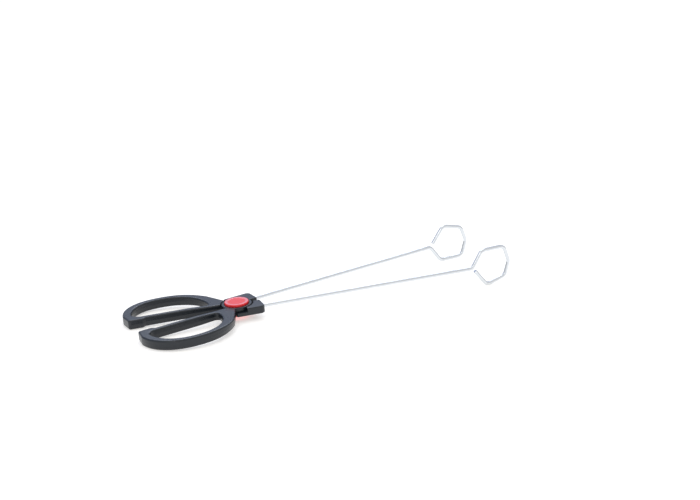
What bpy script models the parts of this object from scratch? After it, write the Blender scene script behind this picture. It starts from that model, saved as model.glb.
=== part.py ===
"""Scissor-action barbecue tongs: two identical wire-armed handles on a sprung pivot.

Both halves are drawn closed, in the lower half's own plan: the tongs' centre
line is the X axis, jaws towards +X, the finger loop on the +Y side, the wire arm
on the -Y side and the lower lap below Z = 0.  The upper half is the same moulding
turned over about X.  Opening turns each half by OPEN_HALF about the pivot.
All sizes are in millimetres and degrees.
"""
import math

import bmesh
import bpy
from mathutils import Matrix, Vector

MM = 0.001

# Fits and opening
OPEN_HALF = 8.2          # each half's angle from closed to resting open
FIT = 0.3                # gap between pieces that seat on or in each other
FACE_GAP = 0.15          # each stop face's distance from the centre line

# Handle moulding
THICK = 9.6              # height of the finger loop along the pivot
HUB_THICK = 8.0          # height of the neck, hub and socket block
TAPER_FROM = -52.0       # the loop thins towards the hub between these places
TAPER_TO = -20.0
EDGE_R = 1.8             # rounding of the bars' top and bottom edges
LOOP_MID_X = -64.0       # widest place of the finger loop
LOOP_REAR = 46.9         # loop's half length behind its widest place
LOOP_FRONT = 55.5        # loop's half length in front of it
LOOP_WIDTH = 53.9        # from the centre line to the outer edge
REAR_SQUARE = 2.25       # exponent of the squarish rear curve
REAR_MID_Y = 14.0        # height on the plan where the rear curve begins
REAR_SLANT = 3.4         # how far the rear edge comes forward below it
BAR_Y = 3.0              # inner bar's edge, from the centre line
INNER_BAR = 6.0          # width of the inner bar
OUTER_BAR = 7.0          # width of the outer bar at its widest place
REAR_BAR = 8.4           # width of the loop's rear wall
NECK_WALL = 17.5         # material between the hole and the loop's front end
HOLE_SQUARE = 2.4        # exponent of the hole's rear curve
STOP_FRONT_X = -93.3     # front end of the closed stop block
STOP_R = 2.3             # corner radius of the stop block

# Hub and laps
HUB_R = 15.2             # lap disc
HUB_GAP = 1.2            # free ring between a lap disc and the other half
HUB_PROUD = 0.2          # lap disc's outer face above the bars
FLANK_Y = 19.5           # straight flank beside the hub
FLANK_START = 104.7      # polar angle where the flank begins, also the open stop
FLANK_EDGE_R = 1.2
SOCKET_X = 6.5           # full-height socket block begins here
SOCKET_END_OUT = 24.8    # block's end face at the flank
SOCKET_END_IN = 23.5     # block's end face at the centre line
SHOULDER_R = 19.0        # radius at which the open stop's gap equals FIT

# Pivot
RIVET_R = 2.5
RIVET_HEAD_R = 4.6
RIVET_HEAD = 0.9
SPACER_WALL = 0.8
WASHER_R = 6.5
WASHER = 0.6
FLOOR = 1.0              # moulded floor between spring pocket and cap recess
POCKET = 2.1             # spring pocket's depth below the tongs' middle plane
POCKET_ROOM = 2.3        # free ring between the coil and the pocket's wall

# Torsion spring
SPRING_WIRE = 1.0
SPRING_R = 7.2           # coil's mean radius
SPRING_TURNS = 2.25
SPRING_LEG_IN = 1.8      # the legs' tips end this far inside the lap's edge
LEG_SLOT = 1.7           # slot width

# Cap
CAP_IN = 3.1             # ring of the hub left showing round the cap
CAP_WALL = 0.9
CAP_SLOPE = 2.5          # width of the bevelled rim round the flat face
CAP_BEVEL = 1.1          # height of the bevelled rim
CAP_ROUND = 0.35

# Wire arms
WIRE = 4.0
ARM_Y = -8.4             # where the wire leaves the block
LOOP_X = 248.5           # where the jaw loop begins
TOE_IN = 8.6             # angle between the jaw loop and the centre line
TIP_GAP = 0.3            # gap from a closed loop's tip to the centre line
HOOK_X = 18.2            # hooked tail inside the block
HOOK_WALL = 3.9          # material between the tail's end and the flank
HOOK_R = 3.2
JAW_BEND_R = 6.0
JAW = [(12.2, 17.2), (39.1, 16.9), (44.5, -0.1), (39.3, -15.6), (16.9, -21.0), (3.2, -3.3)]

# Resolution
ARC_STEP = 15.0          # degrees per segment on fillets
ROUND_STEPS = 2          # segments across a rounded edge
HUB_SEGMENTS = 60
TURNED_SEGMENTS = 40
WIRE_SIDES = 12
SPRING_SIDES = 8

HALF = THICK / 2
HUB_HALF = HUB_THICK / 2
HUB_FACE = HUB_HALF + HUB_PROUD
CLEAR_R = HUB_R + HUB_GAP
CAP_R = HUB_R - CAP_IN
POCKET_R = SPRING_R + SPRING_WIRE / 2 + POCKET_ROOM
SPRING_LEG_R = HUB_R - SPRING_LEG_IN
JAW_REACH = max(u for u, v in JAW)
LOOP_Y = -(WIRE / 2 + TIP_GAP + JAW_REACH * math.sin(math.radians(TOE_IN)))
HOOK_END_Y = HOOK_WALL - FLANK_Y
LAP = FACE_GAP
RECESS_FLOOR = POCKET + FLOOR
SPACER_R = RIVET_R + FIT + SPACER_WALL
WASHER_Z = RECESS_FLOOR + FIT
HEAD_Z = WASHER_Z + WASHER + FIT
CAP_CEILING = HEAD_Z + RIVET_HEAD + FIT
CAP_TOP = CAP_CEILING + CAP_WALL
PIVOT_Z = CAP_TOP        # the lower cap's face is the model's Z = 0


# ---------------------------------------------------------------- outlines

def polar(radius, degrees):
    """Point at a radius and an angle about the pivot."""
    angle = math.radians(degrees)
    return (radius * math.cos(angle), radius * math.sin(angle))


def fillet(corners):
    """Polygon whose corners (x, y, radius) become arcs; radius 0 keeps the point."""
    points = []
    for index, (x, y, radius) in enumerate(corners):
        here = Vector((x, y))
        if radius == 0:
            points.append((x, y))
            continue
        before = (Vector(corners[index - 1][:2]) - here).normalized()
        after = (Vector(corners[(index + 1) % len(corners)][:2]) - here).normalized()
        half = before.angle(after) / 2
        centre = here + (before + after).normalized() * (radius / math.sin(half))
        start = here + before * (radius / math.tan(half)) - centre
        end = here + after * (radius / math.tan(half)) - centre
        sweep = start.angle_signed(end)
        steps = max(2, round(abs(math.degrees(sweep)) / ARC_STEP))
        for step in range(steps + 1):
            turned = Matrix.Rotation(-sweep * step / steps, 2) @ start
            points.append(tuple(centre + turned))
    return points


def quarter(centre, across, up, power, start, end, steps):
    """Points of a superellipse between two parameter angles."""
    points = []
    for step in range(steps + 1):
        angle = math.radians(start + (end - start) * step / steps)
        cos, sin = math.cos(angle), math.sin(angle)
        x = centre[0] + math.copysign(across * abs(cos) ** (2 / power), cos)
        y = centre[1] + up * abs(sin) ** (2 / power)
        points.append((x, y, 0))
    return points


def shoulder_angle():
    """Polar angle of the neck's side, which meets the other half's flank when open."""
    return FLANK_START + 2 * OPEN_HALF + math.degrees(FIT / SHOULDER_R)


def loop_outline():
    """Outer edge of the finger loop, its neck and the closed stop block."""
    middle = (LOOP_MID_X, 0.0)
    rear_x = LOOP_MID_X - LOOP_REAR
    side = math.radians(shoulder_angle())
    low, high = 0.0, 90.0
    for _ in range(40):
        mid = (low + high) / 2
        x = LOOP_MID_X + LOOP_FRONT * math.cos(math.radians(mid))
        y = LOOP_WIDTH * math.sin(math.radians(mid))
        if math.atan2(y, x) < side:
            low = mid
        else:
            high = mid
    corners = [(rear_x + REAR_SLANT, FACE_GAP, STOP_R)]
    rear = (LOOP_MID_X, REAR_MID_Y)
    corners += quarter(rear, LOOP_REAR, LOOP_WIDTH - REAR_MID_Y, REAR_SQUARE, 179, 90, 15)
    corners += quarter(middle, LOOP_FRONT, LOOP_WIDTH, 2, 84, high, 12)
    corners += [(*polar(HUB_R * 0.6, shoulder_angle()), 0), (-HUB_R * 0.5, BAR_Y, 0)]
    rise = BAR_Y - FACE_GAP
    corners += [(STOP_FRONT_X + rise, BAR_Y, 1.0), (STOP_FRONT_X, FACE_GAP, STOP_R)]
    return fillet(corners)


def hole_outline():
    """The finger hole: a straight side along the inner bar, the rest a smooth curve."""
    base = BAR_Y + INNER_BAR
    up = LOOP_WIDTH - OUTER_BAR - base
    back = LOOP_REAR - REAR_BAR
    front = LOOP_FRONT - NECK_WALL
    middle = (LOOP_MID_X, base)
    corners = [(LOOP_MID_X + front, base, 4.0)]
    corners += quarter(middle, front, up, 2, 14, 90, 13)
    corners += quarter(middle, back, up, HOLE_SQUARE, 97, 168, 11)
    corners += [(LOOP_MID_X - back, base, 8.0)]
    return fillet(corners)


def flank_outline():
    """Plan of the flank and the socket block."""
    start = -FLANK_START
    reach = FLANK_Y / math.sin(math.radians(FLANK_START))
    return fillet([
        (*polar(reach, start), 1.5),
        (SOCKET_END_OUT, -FLANK_Y, 2.5),
        (SOCKET_END_IN, -FACE_GAP, 1.4),
        (HUB_R * 0.4, -FACE_GAP, 0),
        (*polar(HUB_R * 0.6, start), 0)])


def thinning(x):
    """Share of the loop's height that is left at x: full at the rear, less at the hub."""
    t = min(1.0, max(0.0, (x - TAPER_FROM) / (TAPER_TO - TAPER_FROM)))
    return 1 - (1 - HUB_THICK / THICK) * t * t * (3 - 2 * t)


# ---------------------------------------------------------------- meshes

def add_object(name, mesh, material, parent=None, visible=True):
    """Link a mesh as an object; a cutter is drawn as wire and left out of renders."""
    item = bpy.data.objects.new(name, mesh)
    bpy.context.scene.collection.objects.link(item)
    item.parent = parent
    if material:
        mesh.materials.append(material)
    if not visible:
        item.hide_render = True
        item.display_type = 'WIRE'
    return item


def finish_mesh(name, bm, smooth_angle=40):
    """Turn a bmesh in millimetres into a mesh in metres, faces outward."""
    bmesh.ops.recalc_face_normals(bm, faces=bm.faces)
    bmesh.ops.scale(bm, vec=(MM, MM, MM), verts=bm.verts)
    mesh = bpy.data.meshes.new(name)
    bm.to_mesh(mesh)
    bm.free()
    mesh.shade_smooth()
    mesh.set_sharp_from_angle(angle=math.radians(smooth_angle))
    return mesh


def inset_ring(points, distance):
    """Closed outline moved to the left of its direction by a distance."""
    moved = []
    for index, point in enumerate(points):
        here = Vector(point)
        before = (here - Vector(points[index - 1])).normalized()
        after = (Vector(points[(index + 1) % len(points)]) - here).normalized()
        normal = Vector((-before.y - after.y, before.x + after.x)).normalized()
        stretch = max(0.5, normal.dot(Vector((-before.y, before.x))))
        moved.append(here + normal * (distance / stretch))
    return moved


def signed_area(points):
    pairs = zip(points, points[1:] + points[:1])
    return sum(a[0] * b[1] - b[0] * a[1] for a, b in pairs) / 2


def prism(name, outline, low, high, round_r=0.0, hole=None, height_at=None):
    """Plate between two heights with rounded top and bottom edges, and a hole.
    height_at(x) scales the plate's height along its length."""
    profile = [(0.0, low + round_r), (0.0, high - round_r)]
    if round_r:
        turns = [math.pi / 2 * step / ROUND_STEPS for step in range(1, ROUND_STEPS + 1)]
        top = [(round_r * (1 - math.cos(t)), high - round_r * (1 - math.sin(t))) for t in turns]
        profile = [(d, low + high - z) for d, z in reversed(top)] + profile + top
    bm = bmesh.new()
    ends = ([], [])
    for points, keep_left in ((outline, True), (hole, False)):
        if points is None:
            continue
        if (signed_area(points) > 0) != keep_left:
            points = points[::-1]
        rings = []
        for distance, z in profile:
            rings.append([bm.verts.new((*p, z)) for p in inset_ring(points, distance)])
        for lower, upper in zip(rings, rings[1:]):
            for index in range(len(points)):
                corner = index - 1
                bm.faces.new((lower[corner], lower[index], upper[index], upper[corner]))
        for ring, edges in ((rings[0], ends[0]), (rings[-1], ends[1])):
            edges += [bm.edges.get((ring[i - 1], ring[i])) for i in range(len(ring))]
    for edges in ends:
        bmesh.ops.triangle_fill(bm, edges=edges, use_beauty=True)
    if height_at:
        for vert in bm.verts:
            vert.co.z *= height_at(vert.co.x)
    return finish_mesh(name, bm)


def turned(name, profile, segments=TURNED_SEGMENTS, closed=False):
    """Solid of revolution about Z from (radius, z) points; radius 0 makes a pole."""
    bm = bmesh.new()
    rings = []
    for radius, z in profile:
        count = 1 if radius == 0 else segments
        angles = [math.tau * step / segments for step in range(count)]
        rings.append([bm.verts.new((radius * math.cos(a), radius * math.sin(a), z)) for a in angles])
    pairs = list(zip(rings, rings[1:]))
    if closed:
        pairs.append((rings[-1], rings[0]))
    for lower, upper in pairs:
        for index in range(segments):
            corners = []
            for ring, place in ((lower, index - 1), (lower, index), (upper, index), (upper, index - 1)):
                vert = ring[place % len(ring)]
                if vert not in corners:
                    corners.append(vert)
            if len(corners) > 2:
                bm.faces.new(corners)
    return finish_mesh(name, bm)


def tube(name, path, radius, sides):
    """Round bar along a path of points, with flat ends and no twist."""
    bm = bmesh.new()
    points = [Vector(p) for p in path]
    rings = []
    across = None
    for index, point in enumerate(points):
        ahead = points[min(index + 1, len(points) - 1)] - points[max(index - 1, 0)]
        ahead.normalize()
        if across is None:
            across = ahead.orthogonal()
        across = (across - ahead * across.dot(ahead)).normalized()
        side = ahead.cross(across)
        ring = []
        for step in range(sides):
            angle = math.tau * step / sides
            ring.append(bm.verts.new(point + (across * math.cos(angle) + side * math.sin(angle)) * radius))
        rings.append(ring)
    for lower, upper in zip(rings, rings[1:]):
        for index in range(sides):
            bm.faces.new((lower[index - 1], lower[index], upper[index], upper[index - 1]))
    bm.faces.new(rings[0])
    bm.faces.new(rings[-1])
    return finish_mesh(name, bm)


def box(name, low, high):
    """Axis-aligned block between two corners."""
    bm = bmesh.new()
    bmesh.ops.create_cube(bm, size=1)
    for vert in bm.verts:
        vert.co = [low[i] if vert.co[i] < 0 else high[i] for i in range(3)]
    return finish_mesh(name, bm)


def combine(target, operation, meshes, parent):
    """Add Boolean modifiers that join or cut a target by hidden guide solids."""
    for mesh in meshes:
        guide = add_object(mesh.name, mesh, None, parent, visible=False)
        step = target.modifiers.new(mesh.name, 'BOOLEAN')
        step.operation = operation
        step.solver = 'EXACT'
        step.object = guide


# ---------------------------------------------------------------- wire paths

def bend(points, radius):
    """Polyline in space whose inner corners become arcs of one radius."""
    path = [Vector(points[0])]
    for before, here, after in zip(points, points[1:], points[2:]):
        here = Vector(here)
        back = (Vector(before) - here).normalized()
        ahead = (Vector(after) - here).normalized()
        half = back.angle(ahead) / 2
        if math.degrees(math.pi - 2 * half) < 3:
            path.append(here)
            continue
        centre = here + (back + ahead).normalized() * (radius / math.sin(half))
        start = (here + back * (radius / math.tan(half)) - centre).normalized()
        end = (here + ahead * (radius / math.tan(half)) - centre).normalized()
        steps = max(2, round(math.degrees(math.pi - 2 * half) / ARC_STEP))
        for step in range(steps + 1):
            path.append(centre + start.slerp(end, step / steps) * radius)
    path.append(Vector(points[-1]))
    return path


def arm_line(x):
    """The straight arm's distance from the centre line at x."""
    return ARM_Y + (LOOP_Y - ARM_Y) * (x - SOCKET_END_OUT) / (LOOP_X - SOCKET_END_OUT)


def hook_path():
    """The wire's hooked tail inside the socket block, out to the arm's first straight."""
    run = SOCKET_END_OUT + 6
    return bend([(HOOK_X, HOOK_END_Y, 0), (HOOK_X, arm_line(HOOK_X), 0), (run, arm_line(run), 0)], HOOK_R)


def arm_path():
    """Hooked tail, straight arm and the open six-sided jaw loop, which stands on edge and
    turns in until the closed loops' tips meet."""
    path = hook_path()
    forward = Vector((*polar(1, TOE_IN), 0))
    start = Vector((LOOP_X, LOOP_Y, 0))
    jaw = [path[-1], start] + [start + forward * u + Vector((0, 0, v)) for u, v in JAW]
    return path[:-1] + bend(jaw, JAW_BEND_R)


def spring_path():
    """Torsion spring: a left-hand helix, which closing winds tighter, with a straight
    tangential leg in each lap."""
    height = 2 * POCKET - 2 * FIT - SPRING_WIRE
    steps = round(24 * SPRING_TURNS)
    sweep = 360 * SPRING_TURNS
    points = []
    for step in range(steps + 1):
        t = step / steps - 0.5
        points.append(Vector((*polar(SPRING_R, -sweep * t), height * t)))
    reach = math.sqrt(SPRING_LEG_R ** 2 - SPRING_R ** 2)
    low_leg = points[0] + reach * Vector((*polar(1, sweep / 2 + 90), 0))
    high_leg = points[-1] + reach * Vector((*polar(1, -sweep / 2 - 90), 0))
    return [low_leg] + points + [high_leg]


def leg_slot_outline():
    """Slot for the spring's low leg, in the plan of the closed lower half."""
    tip, foot = [point.xy for point in spring_path()[:2]]
    along = (tip - foot).normalized()
    side = Vector((-along.y, along.x)) * LEG_SLOT / 2
    tip = tip + along * FIT
    turn = Matrix.Rotation(math.radians(OPEN_HALF), 2)
    return [tuple(turn @ corner) for corner in (foot - side, tip - side, tip + side, foot + side)]


# ---------------------------------------------------------------- materials

def plastic(name, colour, roughness):
    material = bpy.data.materials.new(name)
    material.use_nodes = True
    shader = material.node_tree.nodes['Principled BSDF']
    shader.inputs['Base Color'].default_value = (*colour, 1)
    shader.inputs['Roughness'].default_value = roughness
    return material


def metal(name, colour, roughness):
    material = plastic(name, colour, roughness)
    material.node_tree.nodes['Principled BSDF'].inputs['Metallic'].default_value = 1
    return material


# ---------------------------------------------------------------- pieces

def handle(name, parent, material):
    """One handle moulding with its lap, spring pocket, cap recess and wire channel."""
    mesh = prism(name, loop_outline(), -HALF, HALF, EDGE_R, hole_outline(), thinning)
    item = add_object(name, mesh, material, parent)
    disc = turned(name + '_disc', [
        (0, -HUB_FACE), (HUB_R - 0.6, -HUB_FACE), (HUB_R, -HUB_FACE + 0.6), (HUB_R, 1.0), (0, 1.0)],
        HUB_SEGMENTS)
    flank = prism(name + '_flank', flank_outline(), -HUB_HALF, HUB_HALF, FLANK_EDGE_R)
    combine(item, 'UNION', [disc, flank], parent)
    above = THICK
    recess = CAP_R + FIT
    bore = SPACER_R + FIT
    room = turned(name + '_room', [
        (0, -above), (recess, -above), (recess, -RECESS_FLOOR), (bore, -RECESS_FLOOR),
        (bore, -POCKET), (POCKET_R, -POCKET), (POCKET_R, -LAP), (CLEAR_R, -LAP),
        (CLEAR_R, above), (0, above)], HUB_SEGMENTS)
    cutters = [
        room,
        box(name + '_flank_room', (-2 * HUB_R, -1.5 * FLANK_Y, -LAP), (SOCKET_X, 0.5 * FACE_GAP, above)),
        tube(name + '_channel', hook_path(), WIRE / 2 + FIT, WIRE_SIDES),
        prism(name + '_slot', leg_slot_outline(), -POCKET + 0.02, above)]
    combine(item, 'DIFFERENCE', cutters, parent)
    return item


def arm(name, parent, material):
    return add_object(name, tube(name, arm_path(), WIRE / 2, WIRE_SIDES), material, parent)


def cap(name, parent, material):
    """Snap-on cap below the lower hub: a shallow cup with a bevelled rim."""
    foot = -RECESS_FLOOR - FIT
    rim = -CAP_TOP + CAP_BEVEL
    inner = CAP_R - CAP_WALL
    profile = [
        (0, -CAP_TOP), (CAP_R - CAP_SLOPE, -CAP_TOP), (CAP_R - CAP_ROUND, rim),
        (CAP_R, rim + CAP_ROUND), (CAP_R, foot), (inner, foot),
        (inner, -CAP_CEILING), (0, -CAP_CEILING)]
    return add_object(name, turned(name, profile), material, parent)


def washer(name, parent, material):
    bore = RIVET_R + FIT
    low, high = -WASHER_Z - WASHER, -WASHER_Z
    profile = [(bore, low), (WASHER_R, low), (WASHER_R, high), (bore, high)]
    return add_object(name, turned(name, profile, closed=True), material, parent)


def rivet(name, parent, material):
    """Domed head at the top, formed tail at the bottom."""
    dome = [(RIVET_HEAD_R * math.cos(a), HEAD_Z + RIVET_HEAD * math.sin(a))
            for a in [math.radians(d) for d in (0, 25, 50, 75)]]
    tail = [(r, -z) for r, z in reversed(dome)]
    profile = [(0, -HEAD_Z - RIVET_HEAD)] + tail + [(RIVET_R, -HEAD_Z), (RIVET_R, HEAD_Z)]
    profile += dome + [(0, HEAD_Z + RIVET_HEAD)]
    return add_object(name, turned(name, profile, 32), material, parent)


def spacer(name, parent, material):
    """Steel sleeve that keeps the rivet from clamping the laps."""
    inner = RIVET_R + FIT
    profile = [(inner, -RECESS_FLOOR), (SPACER_R, -RECESS_FLOOR), (SPACER_R, RECESS_FLOOR), (inner, RECESS_FLOOR)]
    return add_object(name, turned(name, profile, 32, closed=True), material, parent)


def empty(name, matrix):
    item = bpy.data.objects.new(name, None)
    item.matrix_world = matrix
    bpy.context.scene.collection.objects.link(item)
    return item


def main():
    for item in list(bpy.data.objects):
        bpy.data.objects.remove(item)
    black = plastic('black_moulding', (0.022, 0.025, 0.027), 0.38)
    red = plastic('red_cap', (0.80, 0.065, 0.065), 0.3)
    chrome = metal('chromed_wire', (0.78, 0.80, 0.84), 0.12)
    steel = metal('zinc_steel', (0.62, 0.63, 0.65), 0.35)

    lift = Matrix.Translation((0, 0, PIVOT_Z * MM))
    opening = math.radians(OPEN_HALF)
    lower = empty('lower_half', lift @ Matrix.Rotation(-opening, 4, 'Z'))
    upper = empty('upper_half', lift @ Matrix.Rotation(opening, 4, 'Z') @ Matrix.Rotation(math.pi, 4, 'X'))
    middle = empty('pivot', lift)

    for side, half in (('lower', lower), ('upper', upper)):
        handle(side + '_handle', half, black)
        arm(side + '_arm', half, chrome)
        cap(side + '_cap', half, red)
        washer(side + '_washer', half, steel)
    rivet('pivot_rivet', middle, steel)
    spacer('pivot_spacer', middle, steel)
    spring = tube('torsion_spring', spring_path(), SPRING_WIRE / 2, SPRING_SIDES)
    add_object('torsion_spring', spring, steel, middle)


main()
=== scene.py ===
# %% [markdown]
# # Scissor-action barbecue tongs
# Two identical halves cross at a sprung pivot.  Each half is a black moulded plastic
# handle with a finger loop, and a chromed wire arm that ends in an open six-sided loop.
# A red cap covers each end of the pivot.  Every piece here is a surface worked out as
# arrays of points, so one formula gives both halves: a piece is drawn in the closed
# tongs' own plan and is then turned to where its half stands.

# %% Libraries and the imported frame
import math

import bmesh
import bpy
import numpy as np
from mathutils import Matrix, Vector


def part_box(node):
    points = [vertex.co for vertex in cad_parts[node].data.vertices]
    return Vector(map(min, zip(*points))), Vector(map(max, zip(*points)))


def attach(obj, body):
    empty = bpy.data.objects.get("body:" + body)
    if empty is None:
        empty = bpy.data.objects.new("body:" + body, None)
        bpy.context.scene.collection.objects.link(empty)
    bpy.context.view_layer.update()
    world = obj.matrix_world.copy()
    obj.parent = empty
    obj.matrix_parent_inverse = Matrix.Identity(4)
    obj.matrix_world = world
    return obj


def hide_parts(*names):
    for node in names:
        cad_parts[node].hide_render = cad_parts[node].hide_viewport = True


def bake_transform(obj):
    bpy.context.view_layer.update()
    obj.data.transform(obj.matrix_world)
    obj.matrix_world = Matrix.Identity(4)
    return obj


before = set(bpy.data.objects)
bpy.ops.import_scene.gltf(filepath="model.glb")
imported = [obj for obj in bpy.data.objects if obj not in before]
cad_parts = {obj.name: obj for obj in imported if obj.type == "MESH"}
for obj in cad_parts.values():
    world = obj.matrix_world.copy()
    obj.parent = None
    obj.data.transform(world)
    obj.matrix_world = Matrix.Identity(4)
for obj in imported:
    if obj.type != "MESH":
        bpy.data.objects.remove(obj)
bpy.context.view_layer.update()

# %% [markdown]
# ## Where the halves stand
# The pivot runs straight up and its lower cap's face is Z = 0, so the pivot's middle is
# half the height of the two caps.  Each half is turned 8.2 degrees from closed.  The
# upper half is the same shape as the lower one, turned over about the tongs' long axis.
# It could be mirrored instead, but a mirror turns the faces inside out and a turn
# doesn't, and the real halves come from one mould.

# %% Turning a drawn piece into its half
MM = 0.001
OPEN_HALF = 8.2
cap_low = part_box("lower_cap")[0]
cap_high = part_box("upper_cap")[1]
PIVOT_Z = (cap_low.z + cap_high.z) / 2 / MM

LIFT = Matrix.Translation((0, 0, PIVOT_Z * MM))
OPENING = math.radians(OPEN_HALF)
HALVES = {
    "lower": LIFT @ Matrix.Rotation(-OPENING, 4, "Z"),
    "upper": LIFT @ Matrix.Rotation(OPENING, 4, "Z") @ Matrix.Rotation(math.pi, 4, "X"),
}
print(f"pivot height {PIVOT_Z:.2f} mm")

# %% [markdown]
# ## Sizes
# All sizes are millimetres in the closed plan: jaws towards +X, the finger loop on the
# +Y side, the wire on the -Y side, and the lower half's lap below Z = 0.  They are all
# kept in one place, because the moulding, the wire and the pivot have to fit each other.

# %% Sizes of the moulding, the pivot and the wire
FIT = 0.3                # play between a piece and its room
FACE_GAP = 0.15          # from the middle to a face that meets the other half's
HALF = 4.8               # half the height of the finger loop
HUB_HALF = 4.0           # half the height of the neck, hub and socket block
TAPER = (-52.0, -20.0)   # the loop thins between these places
LOOP_MID_X = -64.0
LOOP_REAR, LOOP_FRONT, LOOP_WIDTH = 46.9, 55.5, 53.9
BAR_Y = 3.0              # the inner bar's straight side, from the middle
INNER_BAR, OUTER_BAR, REAR_BAR, NECK_WALL = 6.0, 7.0, 8.4, 17.5
REAR_MID_Y, REAR_SLANT = 14.0, 3.4
STOP_FRONT_X = -93.3     # front of the block that stops the closed loops
HUB_R, HUB_GAP, HUB_PROUD = 15.2, 1.2, 0.2
HUB_FACE = HUB_HALF + HUB_PROUD
CLEAR_R = HUB_R + HUB_GAP
HUB_CORE_R = HUB_R * 0.6 # the loop and the flank both reach this far into the hub
FLANK_Y, FLANK_START = 19.5, 104.7
STOP_R = 19.0            # radius where the neck meets the other half's flank
SOCKET_X, SOCKET_END_OUT, SOCKET_END_IN = 6.5, 24.8, 23.5
SHOULDER = FLANK_START + 2 * OPEN_HALF + math.degrees(FIT / STOP_R)
POCKET, POCKET_R, RECESS_FLOOR = 2.1, 10.0, 3.1
RIVET_R, SPACER_R, WASHER_R = 2.5, 3.6, 6.5
CAP_R, CAP_TOP, CAP_CEILING = 12.1, 6.4, 5.5
WIRE_R = 2.0
SPRING_WIRE_R, SPRING_R, SPRING_TURNS = 0.5, 7.2, 2.25
POLE = 0.01              # a radius this small stands for a pole
print(f"open stop at {SHOULDER:.1f} degrees")

# %% [markdown]
# ## Putting arrays into meshes
# A surface on a grid is an array of points with two directions.  Its faces join each
# point to its neighbours, so the face list is also worked out as one array.  A direction
# that closes on itself wraps round, and an open end of a tube gets one flat face.
# Blender's own primitives with modifiers could do some of this, but the formula says
# exactly where every point is, which the fits between these pieces need.

# %% One helper for every grid surface
def grid_mesh(name, points, close_rows=False, cap_ends=False):
    """Mesh from points[row, column]: columns always wrap round, rows wrap if asked,
    and cap_ends adds a flat face on the first and last row."""
    rows, columns, _ = points.shape
    index = np.arange(rows * columns).reshape(rows, columns)
    here = index if close_rows else index[:-1]
    above = np.roll(index, -1, 0) if close_rows else index[1:]
    quads = np.stack([here, np.roll(here, -1, 1), np.roll(above, -1, 1), above], -1)
    faces = quads.reshape(-1, 4).tolist()
    if cap_ends:
        faces += [index[0][::-1].tolist(), index[-1].tolist()]
    mesh = bpy.data.meshes.new(name)
    mesh.from_pydata((points.reshape(-1, 3) * MM).tolist(), [], faces)
    mesh.update()
    return mesh


def outward(mesh):
    """Turn the faces over when they enclose a negative volume.  A closed surface's
    volume is a sixth of the sum of its triangles' triple products."""
    mesh.calc_loop_triangles()
    corners = np.empty(len(mesh.loop_triangles) * 3, np.int32)
    mesh.loop_triangles.foreach_get("vertices", corners)
    points = np.empty(len(mesh.vertices) * 3)
    mesh.vertices.foreach_get("co", points)
    a, b, c = points.reshape(-1, 3)[corners.reshape(-1, 3)].transpose(1, 0, 2)
    if np.einsum("ij,ij->", a, np.cross(b, c)) < 0:
        mesh.flip_normals()
    return mesh


def turned(name, profile, segments=128):
    """Surface of revolution about Z: each (radius, z) pair of the closed profile is
    carried round a circle.  A profile that starts at a pole is closed by a small face."""
    profile = np.asarray(profile, float)
    angle = np.linspace(0, 2 * np.pi, segments, endpoint=False)
    radius = profile[:, :1]
    points = np.stack([radius * np.cos(angle), radius * np.sin(angle),
                       np.broadcast_to(profile[:, 1:], (len(profile), segments))], -1)
    solid = profile[0, 0] <= POLE
    return outward(grid_mesh(name, points, close_rows=not solid, cap_ends=solid))


print("helpers ready")

# %% [markdown]
# ## Materials
# The handle is ABS moulded in black with a fine satin grain, so it shows soft grey
# highlights and no mirror image.  The caps are red ABS with a polished rim.  The wires
# are chrome plated, which is nearly a mirror.  The hidden pivot is zinc-plated steel,
# and the spring is drawn wire.  Image textures could give these finishes, but noise on
# the object's own coordinates needs no unwrapping and keeps its real size on every
# piece.  One function turns hex colours to linear and one adds a node.

# %% Colour and node helpers
def linear(hex_colour):
    """sRGB hex to linear RGBA: each channel is divided by 12.92 when dark, or else
    shifted by 0.055, scaled by 1.055 and raised to the power 2.4."""
    channels = np.array([int(hex_colour[i:i + 2], 16) / 255 for i in (1, 3, 5)])
    bright = ((channels + 0.055) / 1.055) ** 2.4
    return (*np.where(channels <= 0.04045, channels / 12.92, bright).tolist(), 1.0)


def add_node(tree, kind, settings=None, **inputs):
    """Add a node, set its own settings, and link or set each named input.  An input's
    name is written with underscores, or _ and its number where names repeat, and a
    socket given as a value is linked."""
    node = tree.nodes.new(kind)
    for name, value in (settings or {}).items():
        setattr(node, name, value)
    for name, value in inputs.items():
        key = int(name[1:]) if name[1:].isdigit() else name.replace("_", " ")
        socket = node.inputs[key]
        if isinstance(value, bpy.types.NodeSocket):
            tree.links.new(value, socket)
        else:
            socket.default_value = value
    return node


def new_material(name):
    """A material with an empty tree, ready for its own nodes."""
    material = bpy.data.materials.new(name)
    material.use_nodes = True
    material.node_tree.nodes.clear()
    return material, material.node_tree


def finish(tree, shader):
    """Link a shader to the material's surface output."""
    output = add_node(tree, "ShaderNodeOutputMaterial")
    tree.links.new(shader.outputs[0], output.inputs["Surface"])


# %% [markdown]
# ### Satin black moulding
# An ABS handle comes from a spark-eroded mould whose grain is 0.1 to 0.2 mm across and a
# few hundredths deep.  It is drawn at 0.45 mm here, or it wouldn't show at all.  It
# scatters light into a wide, soft highlight.  Handling leaves slightly shinier patches
# some 25 mm across, so the roughness and the tone drift between two values.

# %% Satin black moulding
GRAIN, GRAIN_DEEP, HANDLED = 0.45, 0.03, 25.0


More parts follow.
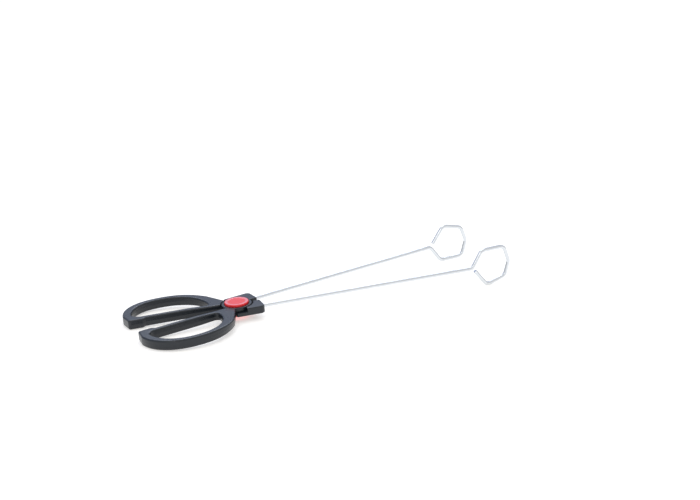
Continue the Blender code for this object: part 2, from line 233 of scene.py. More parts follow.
def satin_black_abs():
    material, tree = new_material("satin_black_moulded_abs")
    place = add_node(tree, "ShaderNodeTexCoord").outputs["Object"]
    grain = add_node(tree, "ShaderNodeTexNoise", Vector=place, Scale=1 / (GRAIN * MM), Detail=2.0)
    wear = add_node(tree, "ShaderNodeTexNoise", Vector=place, Scale=1 / (HANDLED * MM), Detail=3.0)
    rough = add_node(tree, "ShaderNodeMapRange", Value=wear.outputs[0],
                     From_Min=0.3, From_Max=0.7, To_Min=0.24, To_Max=0.32)
    tone = add_node(tree, "ShaderNodeMix", {"data_type": "RGBA"}, _0=wear.outputs[0],
                    _6=linear("#12171c"), _7=linear("#191f26"))
    bump = add_node(tree, "ShaderNodeBump", Strength=0.08, Distance=GRAIN_DEEP * MM,
                    Height=grain.outputs[0])
    shader = add_node(tree, "ShaderNodeBsdfPrincipled", Base_Color=tone.outputs[2],
                      Roughness=rough.outputs[0], IOR=1.48, Normal=bump.outputs[0])
    finish(tree, shader)
    return material


# %% [markdown]
# ### Red cap
# The caps are ABS in a warm signal red.  The mould is polished round the rim and lightly
# blasted inside it.  The rim's paler, pinker red is a painted highlight, so it reads as a
# pale ring round a deeper red face.  Polished plastic has a little orange peel, waves
# about 3 mm long and very shallow.  Two materials on two sets of faces could do this, but
# one material that looks up its distance from the pivot, the Z axis, blends them softly.

# %% Red cap
RIM_IN, RIM_OUT = 9.0, 11.2     # radii where the polished rim and its painted highlight begin and end
RIM_BEFORE, RIM_AFTER = 0.4, 0.2        # the painted highlight fades over this far before and after
PEEL, PEEL_DEEP = 3.0, 0.05


def red_abs_with_painted_rim_highlight():
    material, tree = new_material("red_abs_with_painted_rim_highlight")
    place = add_node(tree, "ShaderNodeTexCoord").outputs["Object"]
    peel = add_node(tree, "ShaderNodeTexNoise", Vector=place, Scale=1 / (PEEL * MM), Detail=1.0)
    tone = add_node(tree, "ShaderNodeMix", {"data_type": "RGBA"}, _0=peel.outputs[0],
                    _6=linear("#e5262b"), _7=linear("#ef3236"))
    bump = add_node(tree, "ShaderNodeBump", Strength=0.1, Distance=PEEL_DEEP * MM,
                    Height=peel.outputs[0])
    plan = add_node(tree, "ShaderNodeVectorMath", {"operation": "MULTIPLY"},
                    _0=place, _1=(1.0, 1.0, 0.0))
    radius = add_node(tree, "ShaderNodeVectorMath", {"operation": "LENGTH"}, _0=plan.outputs[0])
    inside = add_node(tree, "ShaderNodeMapRange", Value=radius.outputs[1],
                      From_Min=(RIM_IN - RIM_BEFORE) * MM, From_Max=(RIM_IN + RIM_AFTER) * MM)
    outside = add_node(tree, "ShaderNodeMapRange", Value=radius.outputs[1], To_Min=1.0, To_Max=0.0,
                       From_Min=(RIM_OUT - RIM_AFTER) * MM, From_Max=(RIM_OUT + RIM_BEFORE) * MM)
    rim = add_node(tree, "ShaderNodeMath", {"operation": "MULTIPLY"},
                   _0=inside.outputs[0], _1=outside.outputs[0])
    # The paler, pinker rim colour is a painted highlight of the polished rim catching the light.
    colour = add_node(tree, "ShaderNodeMix", {"data_type": "RGBA"}, _0=rim.outputs[0],
                      _6=tone.outputs[2], _7=linear("#f08a93"))
    rough = add_node(tree, "ShaderNodeMapRange", Value=rim.outputs[0], To_Min=0.42, To_Max=0.15)
    shader = add_node(tree, "ShaderNodeBsdfPrincipled", Base_Color=colour.outputs[2],
                      Roughness=rough.outputs[0], IOR=1.54, Normal=bump.outputs[0])
    finish(tree, shader)
    return material


# %% [markdown]
# ### Bright chrome and the plain steels
# Bright chrome plate is a slightly bluish mirror.  Polishing leaves it a shade softer in
# patches some 8 mm long.  Zinc plate is duller, with a patchy crystal bloom a couple of
# millimetres across, and spring wire is darker again.  They differ only in their
# numbers, so one function makes all three.

# %% Chrome and steels
def plated_metal(name, dark, light, patch_mm, smooth, dull):
    """A metal whose colour and roughness drift between two values in patches."""
    material, tree = new_material(name)
    place = add_node(tree, "ShaderNodeTexCoord").outputs["Object"]
    patch = add_node(tree, "ShaderNodeTexNoise", Vector=place, Scale=1 / (patch_mm * MM),
                     Detail=3.0)
    tone = add_node(tree, "ShaderNodeMix", {"data_type": "RGBA"}, _0=patch.outputs[0],
                    _6=linear(dark), _7=linear(light))
    rough = add_node(tree, "ShaderNodeMapRange", Value=patch.outputs[0],
                     From_Min=0.3, From_Max=0.7, To_Min=smooth, To_Max=dull)
    shader = add_node(tree, "ShaderNodeBsdfPrincipled", Base_Color=tone.outputs[2],
                      Roughness=rough.outputs[0], Metallic=1.0)
    finish(tree, shader)
    return material


BLACK = satin_black_abs()
RED = red_abs_with_painted_rim_highlight()
CHROME = plated_metal("bright_chrome_plate", "#d0d4d7", "#dee1e3", 8, 0.05, 0.10)
ZINC = plated_metal("zinc_plated_steel", "#a9acb0", "#c6c8cc", 2, 0.28, 0.42)
SPRING_STEEL = plated_metal("drawn_spring_wire", "#8f9092", "#a8a9ab", 1.5, 0.25, 0.35)
print("materials:", len(bpy.data.materials))

# %% [markdown]
# ## Placing a finished piece
# The frame wants each finished object at the origin, with its place in its mesh.  So the
# half's turn is applied to the mesh's points, and then the piece rides on its body and
# takes the place of the plain solid.

# %% Placing
def place_piece(name, mesh, turn, material, body, node, sharp=40):
    """Move a mesh to its half, shade it, and let it stand for its node."""
    mesh.transform(turn)
    mesh.shade_smooth()
    mesh.set_sharp_from_angle(angle=math.radians(sharp))
    mesh.materials.clear()
    mesh.materials.append(material)
    item = bpy.data.objects.new(name, mesh)
    bpy.context.scene.collection.objects.link(item)
    if body:
        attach(item, body)
    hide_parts(node)
    return item


# %% [markdown]
# ## The finger loop
# The loop's outside is a half ellipse at the front and a squarer curve at the rear, over
# a straight inner bar.  The hole follows it inside.  Bezier curves could trace them, but
# the superellipse's few numbers are easier to match to the real moulding.  Both are
# drawn as dense closed curves and then sampled again at even steps, so that every quad
# of the walls is about the same length.

# %% Curves of the loop and the hole
REAR_POWER, HOLE_POWER = 2.25, 2.4      # 2 is an ellipse, more is squarer


def polar(radius, degrees):
    angle = np.radians(degrees)
    return np.stack([radius * np.cos(angle), radius * np.sin(angle)], -1)


def curve(middle, across, up, power, start, end, count):
    """Superellipse arc: cosine and sine are raised to 2 over the power."""
    angle = np.radians(np.linspace(start, end, count))
    cos, sin = np.cos(angle), np.sin(angle)
    return np.stack([middle[0] + across * np.sign(cos) * np.abs(cos) ** (2 / power),
                     middle[1] + up * np.abs(sin) ** (2 / power)], -1)


def round_corner(before, corner, after, radius, count=10):
    """Arc of a radius that touches both sides of a corner."""
    before, corner, after = (np.asarray(p, float) for p in (before, corner, after))
    back = (before - corner) / np.linalg.norm(before - corner)
    ahead = (after - corner) / np.linalg.norm(after - corner)
    half = np.arccos(np.clip(back @ ahead, -1, 1)) / 2
    middle = corner + (back + ahead) / np.linalg.norm(back + ahead) * radius / np.sin(half)
    start = corner + back * radius / np.tan(half) - middle
    end = corner + ahead * radius / np.tan(half) - middle
    sweep = np.arctan2(start[0] * end[1] - start[1] * end[0], start @ end)
    step = np.linspace(0, sweep, count)[:, None]
    across = np.array([-start[1], start[0]])
    return middle + np.cos(step) * start + np.sin(step) * across


def loop_curve():
    """Outside of the finger loop, with its neck and its closed stop block."""
    rear_x = LOOP_MID_X - LOOP_REAR
    front = curve((LOOP_MID_X, 0), LOOP_FRONT, LOOP_WIDTH, 2, 90, 0, 900)
    front = front[:np.argmax(np.arctan2(front[:, 1], front[:, 0]) < math.radians(SHOULDER))]
    rear = curve((LOOP_MID_X, REAR_MID_Y), LOOP_REAR, LOOP_WIDTH - REAR_MID_Y, REAR_POWER,
                 179, 91, 60)
    tip, foot = polar(HUB_CORE_R, SHOULDER), np.array([-HUB_R * 0.5, BAR_Y])
    rise = BAR_Y - FACE_GAP
    heel = np.array([rear_x + REAR_SLANT, FACE_GAP])
    toe, step = np.array([STOP_FRONT_X, FACE_GAP]), np.array([STOP_FRONT_X + rise, BAR_Y])
    return np.concatenate([
        round_corner(toe, heel, rear[0], 2.3), rear, front[::6],
        round_corner(front[-1], tip, foot, 2.2), round_corner(tip, foot, step, 2.2),
        round_corner(foot, step, toe, 1.0), round_corner(step, toe, heel, 2.3)])


def hole_curve():
    """The finger hole: straight along the inner bar, one smooth curve elsewhere."""
    base = BAR_Y + INNER_BAR
    up = LOOP_WIDTH - OUTER_BAR - base
    back, front = LOOP_REAR - REAR_BAR, LOOP_FRONT - NECK_WALL
    middle = (LOOP_MID_X, base)
    ahead = curve(middle, front, up, 2, 14, 90, 60)
    behind = curve(middle, back, up, HOLE_POWER, 92, 168, 50)
    front_corner = np.array([LOOP_MID_X + front, base])
    rear_corner = np.array([LOOP_MID_X - back, base])
    return np.concatenate([
        round_corner(rear_corner, front_corner, ahead[0], 4.0), ahead, behind,
        round_corner(behind[-1], rear_corner, front_corner, 8.0, 14)])


def even(outline, count):
    """Points at equal distances along a closed curve."""
    closed = np.concatenate([outline, outline[:1]])
    along = np.append(0, np.cumsum(np.linalg.norm(np.diff(closed, axis=0), axis=1)))
    at = np.linspace(0, along[-1], count, endpoint=False)
    return np.stack([np.interp(at, along, closed[:, i]) for i in (0, 1)], -1)


OUTER = even(loop_curve()[::-1], 420)
INNER = even(hole_curve(), 300)
print("points round the loop and the hole:", len(OUTER), len(INNER))

# %% [markdown]
# ### The bar's section
# Round the loop the bar is a rectangle with well rounded edges.  A Bevel modifier could
# round them, but it bunches up where the curve is tight.  Instead the curve is moved
# sideways while its height follows a quarter circle.  The two walls are grids, and
# Blender fills the flat face between them.  The mould's two halves meet half way up,
# which leaves a faint ridge round both walls.

# %% Section and loop surface
EDGE_R = 1.8
SEAM, SEAM_RISE = 0.05, 0.25    # the ridge's depth and half its height
SUPPORT = 0.3            # a last row this far in on the flat keeps its shading flat


def moved_in(points, distance):
    """Closed curve moved to its left by a distance, along the mean of the two sides'
    normals, so corners stay sharp.  Positive goes inward on an anticlockwise curve."""
    ahead = np.roll(points, -1, 0) - points
    ahead /= np.maximum(np.linalg.norm(ahead, axis=1, keepdims=True), 1e-9)
    mean = ahead + np.roll(ahead, 1, 0)
    mean /= np.linalg.norm(mean, axis=1, keepdims=True)
    normal = np.stack([-mean[:, 1], mean[:, 0]], -1)
    stretch = np.maximum(0.55, np.sum(mean * ahead, 1, keepdims=True))
    return points + normal * distance / stretch


def thinning(x):
    """Share of the loop's height left at x: a smooth step between the taper's ends."""
    t = np.clip((x - TAPER[0]) / (TAPER[1] - TAPER[0]), 0, 1)
    return 1 - (1 - HUB_HALF / HALF) * t * t * (3 - 2 * t)


def wall_rows(points, side):
    """Rows of (x, y, z) from the bottom face round the wall to the top face.  Side is 1
    for the outer wall, whose edges move inward, and -1 for the hole's."""
    turn = np.linspace(0, np.pi / 2, 9)
    rows = [np.c_[points, np.zeros(len(points))],
            np.c_[moved_in(points, side * SEAM), np.full(len(points), SEAM_RISE)]]
    rows += [np.c_[moved_in(points, side * (SEAM + EDGE_R * (1 - np.cos(t)))),
                   np.full(len(points), HALF - EDGE_R * (1 - np.sin(t)))] for t in turn]
    flat = moved_in(points, side * (SEAM + EDGE_R + SUPPORT))
    rows.append(np.c_[flat, np.full(len(points), HALF)])
    rows = np.array(rows)
    rows = np.concatenate([rows[:0:-1] * [1, 1, -1], rows])
    rows[..., 2] *= thinning(rows[..., 0])
    return rows


def loop_surface():
    """Both walls as grids, and the flat faces filled between their first and last rows."""
    bm = bmesh.new()
    ends = ([], [])
    for points, side in ((OUTER, 1), (INNER, -1)):
        rows = wall_rows(points, side)
        count = len(points)
        before = len(bm.verts)
        bm.from_mesh(grid_mesh("wall", rows))
        bm.verts.ensure_lookup_table()
        for ring, start in ((ends[0], before), (ends[1], before + count * (len(rows) - 1))):
            for k in range(count):
                pair = bm.verts[start + k], bm.verts[start + (k + 1) % count]
                ring.append(bm.edges.get(pair))
    for ring in ends:
        bmesh.ops.triangle_fill(bm, edges=ring, use_beauty=True)
    bmesh.ops.recalc_face_normals(bm, faces=bm.faces)
    mesh = bpy.data.meshes.new("finger_loop")
    bm.to_mesh(mesh)
    bm.free()
    return outward(mesh)


# %% [markdown]
# ### The hub, flank and socket block
# The lap is a disc with a rounded rim.  The flank runs beside it and grows into the
# block that holds the wire.  Both are simple solids.  They are joined to the loop, and
# the room for the other half's lap, the spring and the cap is cut away, as the mould's
# core pins do.  The cutters flare where they leave a face, which leaves a small bevel
# there, because no moulded edge is dead sharp.

# %% Hub solids and cutters
HUB_SEGMENTS = 160
PAST = 9.0               # cutters reach this far, well past the moulding's faces
LAP_EDGE, FLANK_EDGE = 0.9, 1.15
FLANK_SUPPORT = 0.2


def rounded_rim(radius, face, edge, steps=8):
    """Quarter circle from a disc's flat face to its side, as (radius, z) pairs."""
    turn = np.linspace(0, np.pi / 2, steps)
    return np.stack([radius - edge + edge * np.sin(turn), face + edge - edge * np.cos(turn)], -1)


def lap_disc():
    """Disc from the lap's face to just above the middle, where the cutters trim it."""
    return turned("lap_disc", [
        (POLE, -HUB_FACE), (HUB_R - LAP_EDGE - SUPPORT, -HUB_FACE),
        *rounded_rim(HUB_R, -HUB_FACE, LAP_EDGE), (HUB_R, 1.0), (POLE, 1.0)], HUB_SEGMENTS)


def plate(name, outline, low, high, edge, steps=6):
    """Solid between two heights whose edges are rounded by moving the outline in."""
    turn = np.linspace(0, np.pi / 2, steps)
    inset = np.append(edge * (1 - np.cos(turn)), edge + FLANK_SUPPORT)
    rise = np.append(edge * (1 - np.sin(turn)), 0)
    steps_in = list(zip(inset, rise))
    rows = [(d, low + z) for d, z in steps_in[::-1]] + [(d, high - z) for d, z in steps_in]
    levels = [np.c_[moved_in(outline, d), np.full(len(outline), z)] for d, z in rows]
    return outward(grid_mesh(name, np.array(levels), cap_ends=True))


def flank_block():
    """Plan of the flank and the socket block, corners rounded."""
    start = polar(FLANK_Y / math.sin(math.radians(FLANK_START)), -FLANK_START)
    inner = polar(HUB_CORE_R, -FLANK_START)
    out, end = np.array([SOCKET_END_OUT, -FLANK_Y]), np.array([SOCKET_END_IN, -FACE_GAP])
    back = np.array([HUB_R * 0.4, -FACE_GAP])
    outline = np.concatenate([
        round_corner(inner, start, out, 1.5), round_corner(start, out, end, 4.5, 14),
        round_corner(out, end, back, 1.4), [back], [inner]])
    return plate("flank", outline, -HUB_HALF, HUB_HALF, FLANK_EDGE)


def lap_room():
    """Everything turned that is cut from a half: cap recess, bore, spring pocket and
    the room for the other lap, with a flare where it leaves the top."""
    recess, bore, bevel, flare = CAP_R + FIT, SPACER_R + FIT, 0.3, 0.4
    return turned("lap_room", [
        (POLE, -PAST), (recess + bevel, -PAST), (recess + bevel, -HUB_FACE),
        (recess, -HUB_FACE + bevel), (recess, -RECESS_FLOOR), (bore, -RECESS_FLOOR),
        (bore, -POCKET), (POCKET_R, -POCKET), (POCKET_R, -FACE_GAP), (CLEAR_R, -FACE_GAP),
        (CLEAR_R, HUB_HALF - flare), (CLEAR_R + flare, HUB_HALF + 0.02),
        (CLEAR_R + flare, PAST), (POLE, PAST)], HUB_SEGMENTS)


def block(name, low, high):
    """Box between two corners."""
    corners = np.array([[low[0], low[1]], [high[0], low[1]],
                        [high[0], high[1]], [low[0], high[1]]], float)
    levels = [np.c_[corners, np.full(4, z)] for z in (low[2], high[2])]
    return outward(grid_mesh(name, np.array(levels), cap_ends=True))


# %% [markdown]
# ## Wires
# A wire is a circle carried along a path.  A Blender curve with a bevel could draw it,
# but a grid keeps the cropped ends and the rings' spacing in hand.  The circle's side
# direction is passed on from each point to the next and made square to the path there,
# so the tube doesn't twist.  Bends are arcs of one radius, as on a wire bender's pins.

# %% Paths and tubes
NO_BEND = 3              # a corner of fewer degrees stays a plain point


def bent(points, radius, step_degrees=6):
    """Path through corner points whose inner corners become arcs of one radius.  An arc
    goes from its start to its end by weights that are sines of the angles left."""
    points = np.asarray(points, float)
    path = [points[:1]]
    for before, here, after in zip(points, points[1:], points[2:]):
        back = (before - here) / np.linalg.norm(before - here)
        ahead = (after - here) / np.linalg.norm(after - here)
        half = np.arccos(np.clip(back @ ahead, -1, 1)) / 2
        if np.degrees(np.pi - 2 * half) < NO_BEND:
            path.append(here[None])
            continue
        middle = here + (back + ahead) / np.linalg.norm(back + ahead) * radius / np.sin(half)
        start = (here + back * radius / np.tan(half) - middle) / radius
        end = (here + ahead * radius / np.tan(half) - middle) / radius
        sweep = np.arccos(np.clip(start @ end, -1, 1))
        part = np.linspace(0, 1, max(3, int(np.degrees(sweep) / step_degrees)))[:, None]
        arc = np.sin((1 - part) * sweep) * start + np.sin(part * sweep) * end
        path.append(middle + radius * arc / np.sin(sweep))
    path.append(points[-1:])
    return np.concatenate(path)


def tube(name, path, radius, sides=32, chamfer=0.0):
    """A circle of a radius carried along a path.  With a chamfer, two smaller circles
    are added just inside each end, as a wire that was cropped and tumbled has."""
    path = np.asarray(path, float)
    ahead = np.gradient(path, axis=0)
    ahead /= np.linalg.norm(ahead, axis=1, keepdims=True)
    if chamfer:
        first, last = path[0], path[-1]
        path = np.concatenate([[first, first + ahead[0] * chamfer], path[1:-1],
                               [last - ahead[-1] * chamfer, last]])
        ahead = np.concatenate([ahead[:1], ahead[:1], ahead[1:-1], ahead[-1:], ahead[-1:]])
    size = np.full(len(path), radius)
    size[[0, -1]] -= chamfer
    across = carried_sides(ahead)
    up = np.cross(ahead, across)
    angle = np.linspace(0, 2 * np.pi, sides, endpoint=False)[None, :, None]
    ring = across[:, None] * np.cos(angle) + up[:, None] * np.sin(angle)
    return outward(grid_mesh(name, path[:, None] + ring * size[:, None, None], cap_ends=True))


def carried_sides(ahead):
    """A direction square to the path at each point.  The first is square to Y too, or
    to Z where the path starts along Y.  Each next one is the one before it, less what
    lies along the path."""
    first = np.cross(ahead[0], [0.0, 1.0, 0.0])
    if np.linalg.norm(first) < 0.3:
        first = np.cross(ahead[0], [0.0, 0.0, 1.0])
    across = np.empty_like(ahead)
    across[0] = first / np.linalg.norm(first)
    for k in range(1, len(ahead)):
        moved = across[k - 1] - ahead[k] * (across[k - 1] @ ahead[k])
        across[k] = moved / np.linalg.norm(moved)
    return across


print("wire helpers ready")

# %% [markdown]
# ### The arm and its jaw loop
# Each arm is one length of chromed wire.  Its hooked tail is gripped by the moulding,
# the arm runs straight, and six bends make an open loop that stands on edge.  The loop
# toes in, so that the two loops' tips meet when the tongs close.  The bends are given
# as corner points in the loop's own plane, as a wire bender's drawing gives them.

# %% The arm's path
ARM_Y, LOOP_X, TIP_GAP = -8.4, 248.5, 0.3
TOE_IN = math.radians(8.6)
HOOK_X, HOOK_END_Y, HOOK_R, HOOK_RUN = 18.2, -15.6, 3.2, 6.0
JAW = np.array([(12.2, 17.2), (39.1, 16.9), (44.5, -0.1),
                (39.3, -15.6), (16.9, -21.0), (3.2, -3.3)])
JAW_BEND_R, JAW_LEAD = 7.0, 8.0
WIRE_SIDES, WIRE_CROP = 36, 0.35
LOOP_Y = -(WIRE_R + TIP_GAP + JAW[:, 0].max() * math.sin(TOE_IN))


def arm_line(x):
    """Distance from the centre line along the straight arm."""
    return ARM_Y + (LOOP_Y - ARM_Y) * (x - SOCKET_END_OUT) / (LOOP_X - SOCKET_END_OUT)


def hook_path():
    """The tail: a short leg towards the flank, one bend, and out past the block's end."""
    run = SOCKET_END_OUT + HOOK_RUN
    corners = [(HOOK_X, HOOK_END_Y, 0), (HOOK_X, arm_line(HOOK_X), 0), (run, arm_line(run), 0)]
    return bent(corners, HOOK_R)


def arm_path():
    """Hooked tail, straight arm and the open six-sided loop, which stands on edge and
    turns in until the closed loops' tips meet."""
    tail = hook_path()
    x = np.linspace(tail[-1][0], LOOP_X - JAW_LEAD, 60)[1:]
    arm = np.stack([x, arm_line(x), np.zeros_like(x)], -1)
    forward = np.array([math.cos(TOE_IN), math.sin(TOE_IN), 0])
    start = np.array([LOOP_X, LOOP_Y, 0])
    jaw = start + forward * JAW[:, :1] + np.array([0, 0, 1.0]) * JAW[:, 1:]
    return np.concatenate([tail, arm[:-1], bent([arm[-1], start, *jaw], JAW_BEND_R, 5)])


for half, turn in HALVES.items():
    wire = tube(half + "_wire_arm", arm_path(), WIRE_R, WIRE_SIDES, chamfer=WIRE_CROP)
    place_piece(half + "_wire_arm", wire, turn, CHROME,
                half + "_half", half + "_arm")
steps = np.linalg.norm(np.diff(arm_path(), axis=0), axis=1)
print("wire length", round(float(steps.sum())), "mm")

# %% [markdown]
# ## The moulded handles
# The real handle is one moulding, so the loop, the lap and the block become one mesh.
# Their outlines cross in too many ways to draw by hand, so the joins and cuts are
# Boolean modifiers on one object.  Their result is read back as a plain mesh, points
# that nearly meet are welded, and the tools are thrown away.

# %% Joining and cutting
WELD = 0.002             # points closer than this become one


def carved(name, base, joins, cuts):
    """Mesh of a base joined with some solids and cut by others."""
    item = bpy.data.objects.new(name, base)
    bpy.context.scene.collection.objects.link(item)
    tools = []
    for operation, meshes in (("UNION", joins), ("DIFFERENCE", cuts)):
        for mesh in meshes:
            tool = bpy.data.objects.new(mesh.name, mesh)
            bpy.context.scene.collection.objects.link(tool)
            step = item.modifiers.new(mesh.name, "BOOLEAN")
            step.operation, step.solver, step.object = operation, "EXACT", tool
            tools.append(tool)
    bpy.context.view_layer.update()
    solved = item.evaluated_get(bpy.context.evaluated_depsgraph_get())
    result = bpy.data.meshes.new_from_object(solved)
    for each in tools + [item]:
        bpy.data.objects.remove(each)
    bm = bmesh.new()
    bm.from_mesh(result)
    bmesh.ops.remove_doubles(bm, verts=bm.verts, dist=WELD * MM)
    bmesh.ops.dissolve_degenerate(bm, edges=bm.edges, dist=WELD * MM)
    bmesh.ops.holes_fill(bm, edges=[edge for edge in bm.edges if edge.is_boundary])
    open_edges = sum(not edge.is_manifold for edge in bm.edges)
    bm.to_mesh(result)
    bm.free()
    print(name, "open edges:", open_edges)
    result.name = name
    return result


def handle_mesh(name):
    """The loop joined with the lap and the block, less the room for the pivot's pieces,
    for the other half's flank and for the wire's tail."""
    flank_room = block("flank_room", (-30, -30, -FACE_GAP), (SOCKET_X, FACE_GAP / 2, PAST))
    channel = tube("channel", hook_path(), WIRE_R + FIT, 24)
    return carved(name, loop_surface(), [lap_disc(), flank_block()],
                  [lap_room(), flank_room, channel])


for half, turn in HALVES.items():
    mesh = handle_mesh(half + "_moulded_handle")
    place_piece(half + "_moulded_handle", mesh, turn, BLACK,
                half + "_half", half + "_handle", 30)
    print(mesh.name, len(mesh.polygons), "faces")

# %% [markdown]
# ## Caps, rivet, sleeve, washers and spring
# All but the spring are turned pieces, so each is one profile carried round the pivot.
# The cap is a shallow cup: a slightly sunk face, a flat polished rim with a rounded edge,
# and a wall that snaps into the hub's recess.

# %% Caps
def cap_profile():
    """(radius, z) pairs round the cup.  The face lies a little below the flat rim, with a
    step that follows half a cosine wave, and a quarter circle rounds the rim's edge."""
    sunk, slope, soft, wall, bevel = 0.18, 0.4, 0.9, 0.9, 0.2
    part = np.linspace(0, 1, 7)
    step = np.c_[RIM_IN - slope + 2 * slope * part,
                 -CAP_TOP + sunk * (1 + np.cos(np.pi * part)) / 2]
    turn = np.linspace(0, np.pi / 2, 9)
    edge = np.c_[CAP_R - soft * (1 - np.sin(turn)), -CAP_TOP + soft * (1 - np.cos(turn))]
    foot = -RECESS_FLOOR - FIT
    return [(POLE, -CAP_TOP + sunk), (RIM_IN - 2 * slope, -CAP_TOP + sunk), *step,
            (CAP_R - soft - bevel, -CAP_TOP), *edge, (CAP_R, foot - bevel),
            (CAP_R - bevel, foot), (CAP_R - wall, foot), (CAP_R - wall, -CAP_CEILING),
            (POLE, -CAP_CEILING)]


for half, turn in HALVES.items():
    place_piece(half + "_red_cap", turned(half + "_red_cap", cap_profile()), turn, RED,
                half + "_half", half + "_cap", 50)
print("cap", 2 * CAP_R, "mm across")

# %% [markdown]
# ### Washers, rivet and sleeve
# These are hidden under the caps and between the laps, and show only if a cap is taken
# off.  A sleeve takes the rivet's clamping load, so the laps stay free to turn.  Each
# edge is broken by a small bevel, because stamped and cropped steel always has one.

# %% Washers, rivet and sleeve
WASHER, RIVET_HEAD, RIVET_HEAD_R = 0.6, 0.9, 4.6
WASHER_Z = RECESS_FLOOR + FIT
HEAD_Z = WASHER_Z + WASHER + FIT
SOFT = 0.12
BORE_R = RIVET_R + FIT


def ring_profile(outer, low, high):
    """(radius, z) pairs round a ring that the rivet passes through, corners bevelled."""
    return [(BORE_R, low + SOFT), (BORE_R + SOFT, low), (outer - SOFT, low),
            (outer, low + SOFT), (outer, high - SOFT), (outer - SOFT, high),
            (BORE_R + SOFT, high), (BORE_R, high - SOFT)]


for half, turn in HALVES.items():
    washer = turned(half + "_steel_washer", ring_profile(WASHER_R, -WASHER_Z - WASHER, -WASHER_Z))
    place_piece(half + "_steel_washer", washer, turn, ZINC,
                half + "_half", half + "_washer", 25)

slope = np.radians(np.linspace(0, 88, 14))
dome = np.c_[RIVET_HEAD_R * np.cos(slope), HEAD_Z + RIVET_HEAD * np.sin(slope)]
top = HEAD_Z + RIVET_HEAD
shank = [(POLE, -top), *(dome[::-1] * [1, -1]), (RIVET_R, -HEAD_Z), (RIVET_R, HEAD_Z),
         *dome, (POLE, top)]
place_piece("steel_rivet", turned("steel_rivet", shank), LIFT, ZINC,
            "lower_half", "pivot_rivet", 30)
sleeve = turned("steel_sleeve", ring_profile(SPACER_R, -RECESS_FLOOR, RECESS_FLOOR))
place_piece("steel_sleeve", sleeve, LIFT, ZINC,
            "lower_half", "pivot_spacer", 25)
print("rivet", round(2 * top, 1), "mm long")

# %% [markdown]
# ### The torsion spring
# The spring is a left-hand helix with a straight leg into each lap.  Riding on one half it
# would tear at the other, so it rides on neither body, and its place is baked into its mesh.

# %% Torsion spring
LEG_IN = 1.8             # the legs end this far inside the hub's rim


def spring_path():
    """Helix of some turns, with a leg along the tangent at each end."""
    height = 2 * POCKET - 2 * FIT - 2 * SPRING_WIRE_R
    part = np.linspace(-0.5, 0.5, 150)
    sweep = 360 * SPRING_TURNS
    coil = np.concatenate([polar(SPRING_R, -sweep * part), height * part[:, None]], 1)
    reach = math.sqrt((HUB_R - LEG_IN) ** 2 - SPRING_R ** 2)
    low = coil[0] + reach * np.append(polar(1, sweep / 2 + 90), 0)
    high = coil[-1] + reach * np.append(polar(1, -sweep / 2 - 90), 0)
    return np.concatenate([[low], coil, [high]])


path = spring_path()
coils = tube("wound_spring", path, SPRING_WIRE_R, 20, chamfer=0.1)
spring = place_piece("wound_spring", coils, LIFT, SPRING_STEEL,
                     None, "torsion_spring")
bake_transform(spring)

# %% [markdown]
# ## Studio
# The tongs rest on the rear of both finger loops and on the bottom of one jaw loop, so
# the table is tilted a little under them.  It is white acrylic lit from below, as for a
# catalogue picture, which leaves only a faint shadow.  A glowing surface does that more
# simply than a lamp under glass would.

# %% Table
REACH, UNDER = 30.0, 0.0002      # metres: half the sheet's side, and its gap below
JAW_FOOT = 0.020         # metres from the bend to where the jaw loop stands
jaw_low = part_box("lower_arm")[0].z
loop_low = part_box("lower_handle")[0]
drop = (loop_low.z - jaw_low) / (LOOP_X * MM + JAW_FOOT - loop_low.x)


def table():
    """One large flat sheet through the two resting lines."""
    edge = REACH * np.array([(-1, -1), (1, -1), (1, 1), (-1, 1)], float)
    z = loop_low.z - drop * (edge[:, 0] - loop_low.x) - UNDER
    mesh = bpy.data.meshes.new("white_table")
    mesh.from_pydata(np.c_[edge, z].tolist(), [], [(0, 1, 2, 3)])
    item = bpy.data.objects.new("white_table", mesh)
    bpy.context.scene.collection.objects.link(item)
    material, tree = new_material("lit_white_acrylic")
    finish(tree, add_node(tree, "ShaderNodeBsdfPrincipled", Base_Color=linear("#dfdedb"),
                          Roughness=0.9, Specular_IOR_Level=0.2,
                          Emission_Color=linear("#fffdfa"), Emission_Strength=0.5))
    mesh.materials.append(material)


table()
print("table tilt", round(math.degrees(math.atan(drop)), 2), "degrees")

# %% [markdown]
# ### Lights and the room
# Three soft lights are enough: one overhead, a small one in front that fills the near
# sides, and a cool strip behind that gives the black tops their grey.  Chrome only shows
# what is round it, so the room matters as much.  It is white on the camera's side.  The
# far wall is a pale blue that the flat tops mirror, with a dark band near the horizon
# that draws thin dark edges on the wires.  An image of a real studio could light it, but
# two blends of plain colours are easier to steer.

# %% Lights
def soft_light(name, place, aim, size, power, colour=(1, 1, 1)):
    """Rectangular area light that faces a point.  Size is its width and height."""
    lamp = bpy.data.lights.new(name, "AREA")
    lamp.shape, lamp.size, lamp.size_y = "RECTANGLE", *size
    lamp.energy, lamp.color = power, colour
    facing = (Vector(aim) - Vector(place)).to_track_quat("-Z", "Y").to_matrix().to_4x4()
    item = bpy.data.objects.new(name, lamp)
    item.matrix_world = Matrix.Translation(place) @ facing
    bpy.context.scene.collection.objects.link(item)


MIDDLE, COOL = (0, 0, 0), (0.86, 0.92, 1.0)
soft_light("overhead_softbox", (0.1, 0.2, 1.2), MIDDLE, (0.9, 0.9), 2.0)
soft_light("front_softbox", (-0.7, -0.9, 1.0), MIDDLE, (0.45, 0.45), 1.5)
soft_light("back_strip", (0.45, 0.95, 0.85), MIDDLE, (0.9, 0.3), 4.0, COOL)
print("lights:", len(bpy.data.lights))

# %% The room
DARK_BAND, PALE_BLUE = (0.06, 0.07, 0.09, 1), (0.56, 0.63, 0.84, 1)
WHITE_SIDE, ROOM_STRENGTH = (0.9, 0.9, 0.92, 1), 0.95


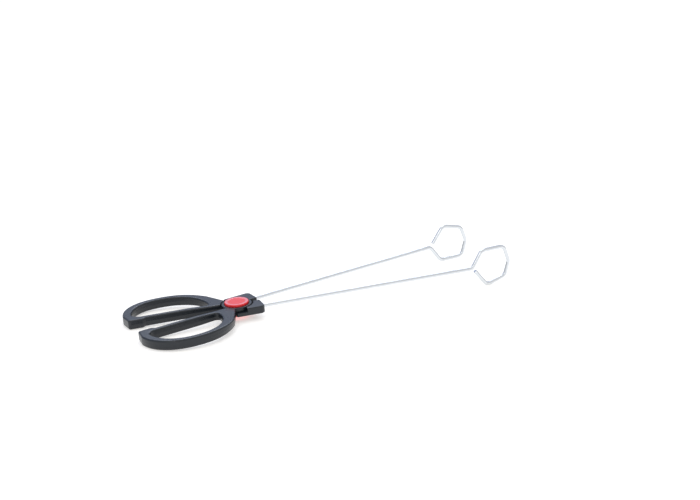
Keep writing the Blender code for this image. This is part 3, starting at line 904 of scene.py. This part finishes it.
def white_studio():
    """World colour from a ray's direction: its Z picks the far wall's band or blue, and
    its Y then picks that wall or the white side.  Both are smooth steps."""
    world = bpy.data.worlds.new("white_studio")
    bpy.context.scene.world = world
    world.use_nodes = True
    room = world.node_tree
    smooth = {"interpolation_type": "SMOOTHSTEP"}
    direction = add_node(room, "ShaderNodeTexCoord").outputs["Generated"]
    axes = add_node(room, "ShaderNodeSeparateXYZ", Vector=direction)
    far = add_node(room, "ShaderNodeMapRange", smooth, Value=axes.outputs["Y"],
                   From_Min=-0.2, From_Max=0.8)
    height = add_node(room, "ShaderNodeMapRange", smooth, Value=axes.outputs["Z"],
                      From_Min=0.05, From_Max=0.24)
    far_wall = add_node(room, "ShaderNodeMix", {"data_type": "RGBA"}, _0=height.outputs[0],
                        _6=DARK_BAND, _7=PALE_BLUE)
    walls = add_node(room, "ShaderNodeMix", {"data_type": "RGBA"}, _0=far.outputs[0],
                     _6=WHITE_SIDE, _7=far_wall.outputs[2])
    background = room.nodes["Background"]
    room.links.new(walls.outputs[2], background.inputs["Color"])
    background.inputs["Strength"].default_value = ROOM_STRENGTH


white_studio()
bpy.context.scene.view_settings.view_transform = "Standard"
print("world:", bpy.context.scene.world.name)

# %% [markdown]
# ## Camera
# The camera looks down on the tongs from the finger-loop end's near side.  It could be
# placed by hand and aimed, but angles say plainly how the tongs are seen.  So its place
# is given as an azimuth, an elevation and a distance along its own axis, with the pivot
# left of and below the middle of the frame, all in metres and degrees.

# %% Camera
AZIMUTH, ELEVATION, ROLL = -24.63, 18.2, 4.24
DISTANCE, PIVOT_LEFT, PIVOT_BELOW = 1.2564, 0.11206, 0.05644
SENSOR = 36.0
LENS = 1267.0 / 700 * SENSOR     # a long lens, 1.81 times the frame's width


def camera():
    """Axes from two angles and a roll; place from the pivot's place before the lens."""
    az, el, roll = np.radians([AZIMUTH, ELEVATION, ROLL])
    back = np.array([np.sin(az) * np.cos(el), -np.cos(az) * np.cos(el), np.sin(el)])
    right = np.array([np.cos(az), np.sin(az), 0.0])
    up = np.cross(back, right)
    cos, sin = np.cos(roll), np.sin(roll)
    right, up = right * cos - up * sin, right * sin + up * cos
    place = right * PIVOT_LEFT + up * PIVOT_BELOW + back * DISTANCE + [0, 0, PIVOT_Z * MM]
    turn = Matrix(np.stack([right, up, back], 1).tolist()).to_4x4()
    lens = bpy.data.cameras.new("camera")
    lens.sensor_width, lens.lens, lens.clip_start = SENSOR, LENS, 0.01
    item = bpy.data.objects.new("camera", lens)
    item.matrix_world = Matrix.Translation(place.tolist()) @ turn
    bpy.context.scene.collection.objects.link(item)
    bpy.context.scene.camera = item


camera()
print("lens", round(LENS, 1), "mm")
